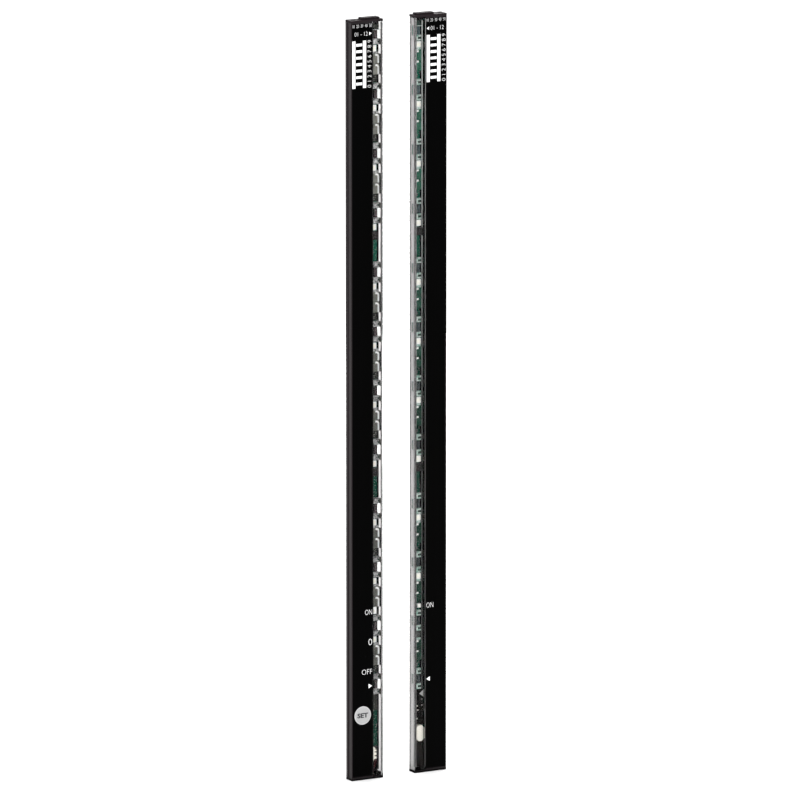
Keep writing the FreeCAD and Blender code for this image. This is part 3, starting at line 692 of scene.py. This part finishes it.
# Painted shade in the recess of a leg and on the sender's uppermost leg: dark green grey.
recess_shade = grained("leg_recess_shade", ("#1b2b26", "#33463f"), grain=0.5, relief=0.01,
                      Roughness=0.5, Specular_IOR_Level=0.2)
end_shades = {"receiver": grey_shade_patch, "sender": recess_shade}
# Filter epoxy of the photodiodes: a glossy brownish black, darkened towards the lower end as painted shade.
detector_epoxy = grained("detector_epoxy", ("#40383a", "#554a4b"), grain=0.6, relief=0.004, foot=0.75,
                         Roughness=0.25, Specular_IOR_Level=0.2)
# Epoxy of the emitters: a glossy, smoky blue grey. Painted shade darkens it towards the lower end, so the
# upper emitters look lighter.
emitter_epoxy = grained("emitter_epoxy", ("#34464a", "#4a5e60"), grain=0.6, relief=0.004, foot=0.3,
                        Roughness=0.2, Specular_IOR_Level=0.2)
dress(detector_epoxy, "receiver_photodiodes")
dress(emitter_epoxy, "sender_emitters")


def bowed_lens(z):
    """A wall with a bowed front: flat behind, and in front a bow that falls with the square of the height."""
    rise = np.linspace(-LEG_ROWS[0], LEG_ROWS[0], LENS_ARC)
    face = LENS_FACE + LENS_SAG * (1 - (rise / LEG_ROWS[0]) ** 2)
    u = np.concatenate([[LENS_BACK], face, [LENS_BACK]])
    height = z + np.concatenate([rise[:1], rise, rise[-1:]])
    return flat_body(np.column_stack([u, height]), LENS_FOOT, LENS_TOP)


for bar in BARS:
    lens = add_piece(f"{bar}_lens_windows", bar, *gathered([bowed_lens(z) for z in BEAM_HEIGHTS]),
                     lens_clear, "clear_lens")
    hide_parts(f"{bar}_beam_lenses")
    middles = [z + side * sum(LEG_ROWS) / 2 for z in BEAM_HEIGHTS for side in (1, -1)]
    end_leg, *legs = [rounded_box(LEG_MIDDLE, middle, LEG_WIDTH, LEG_ROWS[1] - LEG_ROWS[0],
                                  LENS_FOOT, LEG_FRONT, LEG_BEVEL) for middle in middles]
    legs.append(rounded_box(LEG_MIDDLE, FIRST_BEAM + LEG_ROWS[0] - END_RIB / 2, LEG_WIDTH, END_RIB,
                            LENS_FOOT, LEG_FRONT, END_RIB_BEVEL))
    recess_u, recess_width, recess_height = RECESSES[bar]
    recesses = [rounded_box(recess_u, middle, recess_width, recess_height,
                            LEG_FRONT + LEG_BEVEL, RECESS_FRONT, RECESS_BEVEL) for middle in middles[1:]]
    add_piece(f"{bar}_lens_legs", bar, *gathered(legs), leg_frosts[bar], "clear_lens")
    # The uppermost leg is painted shade: grey in the receiver, dark green grey in the sender.
    add_piece(f"{bar}_end_leg", bar, *end_leg, end_shades[bar], "clear_lens")
    add_piece(f"{bar}_leg_recesses", bar, *gathered(recesses), recess_shade, "clear_lens")

# Job lights and status lights
# Square lights of white plastic are soldered to the boards, each with a round cup under a silicone fill.
# The status lights are smaller, and the receiver's upper one has a reflector. One light of each bar is dark.

LIGHT_POINTS = 32
LIGHT_BEVEL = 0.12
CUP_TAPER = 0.8
FILL_DEPTH = 0.08
FILL_DISH = 0.05
FILL_GAP = 0.02
# Radii of the fill at its foot, its rim and its middle, as shares of the cup's.
FILL_SHARES = (0.9, 0.97, 0.5)
JOB_LIGHT_U = 23.8
JOB_LIGHT_DROP = 12.2
STATUS_LIGHT_U = 23.2
# A light has its width, its height, the depth of its front, and the radius and depth of its cup.
JOB_LIGHT = (5.0, 5.0, 5.8, 1.9, 0.35)
STATUS_LIGHT = (2.8, 3.2, 5.5, 1.1, 0.3)
LIGHT_SHADE_FEET = {"receiver": 0.7, "sender": 1.0}
PAINTED_GLOW = 0.25
REFLECTOR_U = 24.4
REFLECTOR_RISE = 0.6
REFLECTOR_SIZE = (4.4, 6.6)
REFLECTOR_FRONT = 6.3
REFLECTOR_BEVEL = 0.2

# White package plastic: satin, with a painted glow for stray light, and in the receiver painted shade
# towards the lower end.
light_whites = {
    bar: grained(f"{bar}_light_package", ("#f4f4f1", "#ffffff"), grain=0.5, relief=0.004,
                 foot=LIGHT_SHADE_FEET[bar], Roughness=0.4, Specular_IOR_Level=0.4,
                 Emission_Color=linear("#ffffff"), Emission_Strength=PAINTED_GLOW)
    for bar in BARS
}
# Silicone fill: glossy, pale yellow, with the same painted glow and painted shade.
light_fills = {
    bar: grained(f"{bar}_light_fill", ("#f6f3e2", "#fbf9ee"), grain=0.6, relief=0.004,
                 foot=LIGHT_SHADE_FEET[bar], Roughness=0.15, Specular_IOR_Level=0.5,
                 Emission_Color=linear("#fffdf0"), Emission_Strength=PAINTED_GLOW)
    for bar in BARS
}
# Package and fill of a dark light: green grey with a soft gloss.
light_dark = grained("dark_light", ("#2c322e", "#3c443f"), grain=0.6, relief=0.004,
                     Roughness=0.3, Specular_IOR_Level=0.3)


def cupped_light(u, z, width, height, v_front, cup_radius, cup_depth):
    """Package and fill of one light, as two solids. The package runs from its square foot to a bevelled
    square front, then into a round cup that tapers to its floor. The fill is a shallow dished disc in the
    cup. A square ring is a round one whose directions are stretched to a square."""
    turn = np.linspace(0, math.tau, LIGHT_POINTS, endpoint=False)
    ring = np.column_stack([np.cos(turn), np.sin(turn)])
    square = ring / np.abs(ring).max(axis=1, keepdims=True)
    half = np.array([width, height]) / 2
    cup = ring * cup_radius
    package = [(square * half, BOARD_FRONT), (square * half, v_front + LIGHT_BEVEL),
               (square * (half - LIGHT_BEVEL), v_front), (cup, v_front),
               (cup * CUP_TAPER, v_front + cup_depth)]
    fill_depths = (cup_depth - FILL_GAP, FILL_DEPTH, FILL_DEPTH + FILL_DISH)
    fill = [(cup * share, v_front + depth) for share, depth in zip(FILL_SHARES, fill_depths)]
    return [lofted([at_depth(outline, v, u, z) for outline, v in sections]) for sections in (package, fill)]


for bar in BARS:
    kinds = {
        "job": [cupped_light(JOB_LIGHT_U, beam - JOB_LIGHT_DROP, *JOB_LIGHT) for beam in BEAM_HEIGHTS[:-1]],
        "status": [cupped_light(STATUS_LIGHT_U, STATUS_ON, *STATUS_LIGHT)],
    }
    if bar == "receiver":
        dark_package, dark_fill = cupped_light(STATUS_LIGHT_U, STATUS_OFF, *STATUS_LIGHT)
    else:
        dark_package, dark_fill = kinds["job"].pop()
    add_piece(f"{bar}_off_light_package", bar, *dark_package, light_dark, "light_package")
    add_piece(f"{bar}_off_light_fill", bar, *dark_fill, light_dark, "light_package")
    for kind, lights in kinds.items():
        packages, fills = zip(*lights)
        package = add_piece(f"{bar}_{kind}_light_packages", bar, *gathered(packages), light_whites[bar],
                            "light_package")
        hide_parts(f"{bar}_{kind}_lights")
        add_piece(f"{bar}_{kind}_light_fills", bar, *gathered(fills), light_fills[bar], "light_package")
# The receiver's reflector shares the sender's package plastic, painted glow included.
reflector = rounded_box(REFLECTOR_U, STATUS_ON + REFLECTOR_RISE, *REFLECTOR_SIZE,
                        BOARD_FRONT, REFLECTOR_FRONT, REFLECTOR_BEVEL)
add_piece("receiver_on_reflector", "receiver", *reflector, light_whites["sender"], "light_package")

# Light guides
# Moulded acrylic bars pegged to the boards beside the job lights, with a frosted collar at their upper end.
# A white hook is painted on each half of a guide, along its top and its window side, to turn light outwards.

HOOK_SIDES = (24.6, 28.2)
HOOK_WIDTH = 1.5
HOOK_RADIUS = 2.6
HOOK_DEPTH = (4.42, 4.33)
HOOK_ARC = 8
HOOK_GAP = 0.2
HOOK_SPLIT = 0.8
COLLAR_ROWS = (14.9, 16.5)
COLLAR_WIDTH = 5.8
COLLAR_FRONT = 4.9
COLLAR_BEVEL = 0.2

# Milky acrylic of the receiver's guides: glossy grey, barely clear, darkened towards the lower end as painted
# shade.
guide_milky = grained("milky_guide", ("#83837c", "#9c9c94"), grain=(1.5, 1.5, 4.0), relief=0.02, foot=0.5,
                      Roughness=0.35, Transmission_Weight=0.2, IOR=1.49, Specular_Tint=linear("#505050"))
# Clear acrylic of the sender's guides: glossy sea green from the board behind, darkened towards the lower end
# as painted shade.
guide_clear = grained("clear_guide", ("#3a7d65", "#549079"), grain=(1.5, 1.5, 4.0), relief=0.02, foot=0.3,
                      Roughness=0.2, Transmission_Weight=0.3, IOR=1.49, Specular_Tint=linear("#505050"))
# White reflector paint: matt, with a painted glow for its highlight.
hook_white = grained("white_reflector_paint", ("#f4f6f2", "#ffffff"), grain=0.5, relief=0.004,
                     Roughness=0.5, Specular_IOR_Level=0.3, Emission_Color=linear("#ffffff"),
                     Emission_Strength=0.15)
dress(guide_milky, "receiver_light_guides")
dress(guide_clear, "sender_light_guides")


def hook(low, high):
    """A flat hook: up the window side, round a quarter circle, along the top, then back inside its width."""
    turn = np.linspace(0, math.pi / 2, HOOK_ARC)
    middle_u, middle_z = HOOK_SIDES[1] - HOOK_RADIUS, high - HOOK_RADIUS
    strokes = []
    for radius, step in ((HOOK_RADIUS, 1), (HOOK_RADIUS - HOOK_WIDTH, -1)):
        u = np.concatenate([[middle_u + radius], middle_u + radius * np.cos(turn), HOOK_SIDES[:1]])
        z = np.concatenate([[low], middle_z + radius * np.sin(turn), [middle_z + radius]])
        strokes.append(np.column_stack([u, z])[::step])
    return flat_body(np.concatenate(strokes), *HOOK_DEPTH)


hooks, collars = [], []
for beam in GUIDE_BEAMS:
    top, foot = beam - GUIDE_ROWS[0], beam - GUIDE_ROWS[1]
    middle = (top + foot) / 2
    hooks += [hook(middle + HOOK_SPLIT, top - HOOK_GAP), hook(foot + HOOK_GAP, middle - HOOK_GAP)]
    collars.append(rounded_box(LEG_MIDDLE, beam - sum(COLLAR_ROWS) / 2, COLLAR_WIDTH,
                               COLLAR_ROWS[1] - COLLAR_ROWS[0], LENS_FOOT, COLLAR_FRONT, COLLAR_BEVEL))
for bar in BARS:
    add_piece(f"{bar}_guide_hooks", bar, *gathered(hooks), hook_white, "light_guide")
    add_piece(f"{bar}_guide_collars", bar, *gathered(collars), leg_frosts[bar], "light_guide")

# Terminals, plugs and leads
# White moulded nylon housings on the lower board of each bar, ribbed and latched in the receiver. Three
# stranded leads run from the plug down to the cable inlet, over black foil on the channel's floor.

HEADER_OUTLINES = {
    "receiver": [(20.3, 20.0), (24.8, 20.0), (24.8, 21.2), (22.8, 21.6), (22.8, 22.3), (24.8, 22.7),
                 (24.8, 23.8), (22.8, 24.2), (22.8, 24.8), (24.2, 25.2), (22.4, 26.2), (21.8, 27.0),
                 (20.3, 27.0)],
    "sender": [(18.7, 33.0), (27.3, 33.0), (27.3, 37.4), (26.6, 37.4), (26.6, 38.9), (25.6, 40.0),
               (21.8, 40.0), (20.9, 38.9), (20.9, 37.4), (18.7, 37.4)],
}
PLUG_OUTLINES = {
    "receiver": [(20.3, 20.0), (20.3, 13.5), (21.2, 13.5), (22.6, 16.0), (24.8, 16.4), (24.8, 18.0),
                 (22.8, 18.4), (22.8, 19.1), (24.8, 19.5), (24.8, 20.0)],
    "sender": [(18.7, 33.0), (18.7, 29.8), (22.0, 26.5), (25.0, 26.5), (27.3, 29.2), (27.3, 33.0)],
}
TERMINAL_FRONT = 3.2
PLUG_BACK = 6.7
LATCH_SIDES = (22.9, 27.3)
LATCH_DEPTH = (5.0, 7.4)
LATCH_HEIGHTS = (15.2, 26.0)
LEAD_DIAMETER = 0.95
LEAD_PITCH = 1.5
LEAD_TOPS = {"receiver": (23.8, 4.95, 16.5), "sender": (23.8, 4.95, 28.5)}
LEAD_FOOT = (21.0, 5.25, 2.3)
# Share of a lead's fall that runs straight at each end.
LEAD_REACH = 0.36
BED_SIDES = (16.0, 28.3)
BED_DEPTH = (8.0, 8.25)
BED_FOOT = 5.2

# Moulded nylon: a warm white with a soft gloss.
terminal_white = grained("connector_white", ("#fff8e8", "#fffdf6"), grain=0.5, relief=0.006,
                         Roughness=0.4, Specular_IOR_Level=0.4)
# Lead insulation: satin and dark red in the receiver; the sender's copy is near black as painted shade.
lead_skins = {
    "receiver": grained("red_lead_insulation", ("#2c060b", "#420c13"), grain=(0.4, 0.4, 2.0), relief=0.006,
                        Roughness=0.4, Specular_IOR_Level=0.15),
    "sender": grained("shaded_lead_insulation", ("#0e0606", "#1a0c0b"), grain=(0.4, 0.4, 2.0), relief=0.006,
                      Roughness=0.4, Specular_IOR_Level=0.1),
}

for bar in BARS:
    header_body = flat_body(HEADER_OUTLINES[bar], BOARD_FRONT, TERMINAL_FRONT)
    header = add_piece(f"{bar}_header_body", bar, *header_body, terminal_white, "connector_white")
    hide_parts(f"{bar}_terminal_header")
    plug_body = flat_body(PLUG_OUTLINES[bar], PLUG_BACK, TERMINAL_FRONT)
    plug = add_piece(f"{bar}_plug_body", bar, *plug_body, terminal_white, "connector_white")
    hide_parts(f"{bar}_terminal_plug")
    curve = bpy.data.curves.new(f"{bar}_leads_round", "CURVE")
    curve.dimensions = "3D"
    curve.bevel_depth = LEAD_DIAMETER / 2000
    curve.bevel_resolution = 4
    curve.resolution_u = 12
    curve.use_fill_caps = True
    top, foot = np.array(LEAD_TOPS[bar]), np.array(LEAD_FOOT)
    straight = (0, 0, LEAD_REACH * (top[2] - foot[2]))
    route = np.array([top, top - straight, foot + straight, foot])
    for n in (-1, 0, 1):
        spline = curve.splines.new("NURBS")
        spline.points.add(len(route) - 1)
        places = stand(bar, route + (n * LEAD_PITCH, 0, 0))
        spline.points.foreach_set("co", np.column_stack([places, np.ones(len(places))]).ravel())
        spline.order_u = 3
        spline.use_endpoint_u = True
    curve.materials.append(lead_skins[bar])
    leads = bpy.data.objects.new(f"{bar}_leads_round", curve)
    bpy.context.scene.collection.objects.link(leads)
    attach(leads, "light_bars")
    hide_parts(f"{bar}_leads")
    lead_bed = block(*BED_SIDES, *BED_DEPTH, BED_FOOT, LEAD_TOPS[bar][2])
    add_piece(f"{bar}_lead_bed", bar, *lead_bed, black_foil_and_shade, "connector_black")
latch = block(*LATCH_SIDES, *LATCH_DEPTH, *LATCH_HEIGHTS)
add_piece("receiver_plug_latch", "receiver", *latch, link_black, "connector_black")

# Teach key
# A round push key of light grey plastic, flush with the receiver's film. A moulded rim holds it behind the
# film, and its legend and ring are printed. A plunger of the same plastic stands before the black switch.

KEY_U = 10.35
KEY_Z = 55.4
KEY_FACE = 7.8
KEY_RIM = 8.25
KEY_BACK = 0.75
KEY_STEP = 0.3
KEY_DISH = 0.08
KEY_POINTS = 96
# Radius and depth along the key, from the rim's back to the front: rim, rounded edge, flat border and dish.
KEY_PROFILE = [(KEY_RIM, KEY_BACK), (KEY_RIM, KEY_STEP), (KEY_FACE, KEY_STEP), (KEY_FACE, 0.16),
               (KEY_FACE - 0.06, 0.06), (KEY_FACE - 0.2, 0.0), (KEY_FACE - 0.7, 0.0),
               (KEY_FACE - 1.0, KEY_DISH)]
LEGEND_HALF_WIDTH = 5.1
LEGEND_HALF_HEIGHT = 2.1
LEGEND_WEIGHT = 0.045
RING_INSETS = (0.6, 0.25)

# Moulded plastic: light grey with a fine texture.
key_grey = grained("key_plastic", ("#989898", "#a4a4a4"), grain=0.3, relief=0.01,
                   Roughness=0.5, Specular_IOR_Level=0.3)
# Printing ink in dark grey for the legend and in pale grey for the ring: matt.
key_ink = grained("grey_ink", ("#29292c", "#353538"), grain=0.3, relief=0.003,
                  Roughness=0.6, Specular_IOR_Level=0.2)
ring_ink = grained("pale_ink", ("#c4c4c4", "#d0d0d0"), grain=0.3, relief=0.003,
                   Roughness=0.6, Specular_IOR_Level=0.2)
dress(key_grey, "receiver_teach_plunger")
dress(link_black, "receiver_teach_switch")

turn = np.linspace(0, math.tau, KEY_POINTS, endpoint=False)
circle = np.column_stack([np.cos(turn), np.sin(turn)])
key_rings = [at_depth(circle * radius, v, KEY_U, KEY_Z) for radius, v in KEY_PROFILE]
key = add_piece("receiver_key_cap", "receiver", *lofted(key_rings), key_grey, "key_plastic", "teach_key")
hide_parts("receiver_teach_key")
key_middle = (KEY_U - cad_box[1].x * 1000, KEY_Z)
legend = letters("SET", key_middle[0] - LEGEND_HALF_WIDTH, key_middle[0] + LEGEND_HALF_WIDTH,
                 KEY_Z - LEGEND_HALF_HEIGHT, KEY_Z + LEGEND_HALF_HEIGHT, weight=LEGEND_WEIGHT)
printed("receiver_key_legend", "receiver", [legend], KEY_DISH - INK_RISE, key_ink, "key_plastic", "teach_key")
ring = np.concatenate([circle * (KEY_FACE - inset) for inset in RING_INSETS]) + key_middle
inner = np.arange(KEY_POINTS)
ahead = np.roll(inner, -1)
ring_faces = np.column_stack([inner, KEY_POINTS + inner, KEY_POINTS + ahead, ahead]).tolist()
printed("receiver_key_ring", "receiver", [(ring, ring_faces)], -INK_RISE, ring_ink,
        "key_plastic", "teach_key")

# Studio
# A near-white floor under a white dome, a soft light from behind on the right, and the camera at the
# photograph's angle.

FLOOR_HALF = 30.0
DOME_STRENGTH = 1.6
RIM_LIGHT_WIDTH = 1.0
RIM_LIGHT_HEIGHT = 1.6
RIM_LIGHT_POWER = 60.0
RIM_LIGHT_PLACE = Vector((1.2, 1.2, 0.7))
RIM_LIGHT_AIM = Vector((0.0, 0.0, 0.32))
CAMERA_LENS = 432.8
CAMERA_SENSOR = 36.0
CAMERA_AZIMUTH = math.radians(-28.56)
CAMERA_ELEVATION = math.radians(11.5)
CAMERA_DISTANCE = 8.0
CAMERA_TARGET = Vector((0.0036, 0.0, 0.3196))

floor_mesh = bpy.data.meshes.new("floor")
floor_mesh.from_pydata([(-FLOOR_HALF, -FLOOR_HALF, 0), (FLOOR_HALF, -FLOOR_HALF, 0),
                        (FLOOR_HALF, FLOOR_HALF, 0), (-FLOOR_HALF, FLOOR_HALF, 0)], [], [(0, 1, 2, 3)])
floor = bpy.data.objects.new("floor", floor_mesh)
bpy.context.scene.collection.objects.link(floor)
# White floor paint: quite matt.
floor_mesh.materials.append(grained("floor_paint", ("#f6f6f6", "#fafafa"), grain=40.0, relief=0.0,
                                    Roughness=0.9, Specular_IOR_Level=0.0))

world = bpy.data.worlds.new("white_dome")
bpy.context.scene.world = world
world.use_nodes = True
dome = world.node_tree.nodes["Background"]
dome.inputs["Color"].default_value = linear("#ffffff")
dome.inputs["Strength"].default_value = DOME_STRENGTH

rim_data = bpy.data.lights.new("rim_light", "AREA")
rim_data.shape = "RECTANGLE"
rim_data.size = RIM_LIGHT_WIDTH
rim_data.size_y = RIM_LIGHT_HEIGHT
rim_data.energy = RIM_LIGHT_POWER
rim = bpy.data.objects.new("rim_light", rim_data)
bpy.context.scene.collection.objects.link(rim)
rim.location = RIM_LIGHT_PLACE
rim.rotation_euler = (RIM_LIGHT_AIM - RIM_LIGHT_PLACE).to_track_quat("-Z", "Y").to_euler()

camera_data = bpy.data.cameras.new("camera")
camera_data.lens = CAMERA_LENS
camera_data.sensor_width = CAMERA_SENSOR
camera = bpy.data.objects.new("camera", camera_data)
bpy.context.scene.collection.objects.link(camera)
back = Vector((math.sin(CAMERA_AZIMUTH) * math.cos(CAMERA_ELEVATION),
               -math.cos(CAMERA_AZIMUTH) * math.cos(CAMERA_ELEVATION),
               math.sin(CAMERA_ELEVATION)))
camera.location = CAMERA_TARGET + back * CAMERA_DISTANCE
camera.rotation_mode = "QUATERNION"
camera.rotation_quaternion = (-back).to_track_quat("-Z", "Y")
bpy.context.scene.camera = camera
bpy.context.scene.view_settings.view_transform = "Standard"
